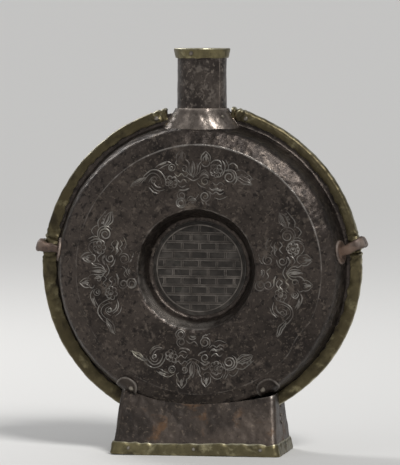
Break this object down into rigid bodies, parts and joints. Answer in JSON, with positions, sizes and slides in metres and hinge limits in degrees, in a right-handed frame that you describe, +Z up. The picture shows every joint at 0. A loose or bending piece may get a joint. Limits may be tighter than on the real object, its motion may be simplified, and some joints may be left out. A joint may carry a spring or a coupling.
{
  "type": "pilgrim flask",
  "caption": "Flat round iron flask with brass-edged rim, round neck, strap lugs and a hollow rectangular foot.",
  "frame": {"origin": "middle of the foot's underside", "axes": "+X to the right as the front face is seen, +Y from front to back, +Z up through the neck"},
  "size_m": [0.2765, 0.0802, 0.334],
  "materials": {
    "iron": "hammered sheet iron, dark brown-grey patina, worn lighter on the edges",
    "roundel_iron": "dark iron plate with a slightly green-grey patina",
    "lattice_iron": "raised lines, rubbed a little brighter than the plate",
    "foot_iron": "sheet iron with a warm brown patina and some rust",
    "lug_iron": "forged iron with rust-brown patina",
    "brass": "aged olive brass with green tarnish in places",
    "rivet_iron": "small peened iron rivets"
  },
  "bodies": {
    "root": {"front_shell": "iron", "back_shell": "iron", "neck_tube": "iron", "neck_collar": "iron", "front_roundel": "roundel_iron", "back_roundel": "roundel_iron", "front_lattice": "lattice_iron", "back_lattice": "lattice_iron", "foot_front_plate": "foot_iron", "foot_back_plate": "foot_iron", "left_lug": "lug_iron", "right_lug": "lug_iron", "left_lug_washers": "lug_iron", "right_lug_washers": "lug_iron", "rim_strip_upper_right": "brass", "rim_strip_upper_left": "brass", "rim_strip_lower_right": "brass", "rim_strip_lower_left": "brass", "lip_band": "brass", "foot_binding": "brass", "seam_braze": "brass", "rim_strip_rivets": "rivet_iron", "collar_rivets": "rivet_iron", "lip_rivet": "rivet_iron", "foot_seam_rivets": "rivet_iron", "foot_ear_rivets": "rivet_iron", "foot_binding_rivets": "rivet_iron"}
  },
  "joints": []
}
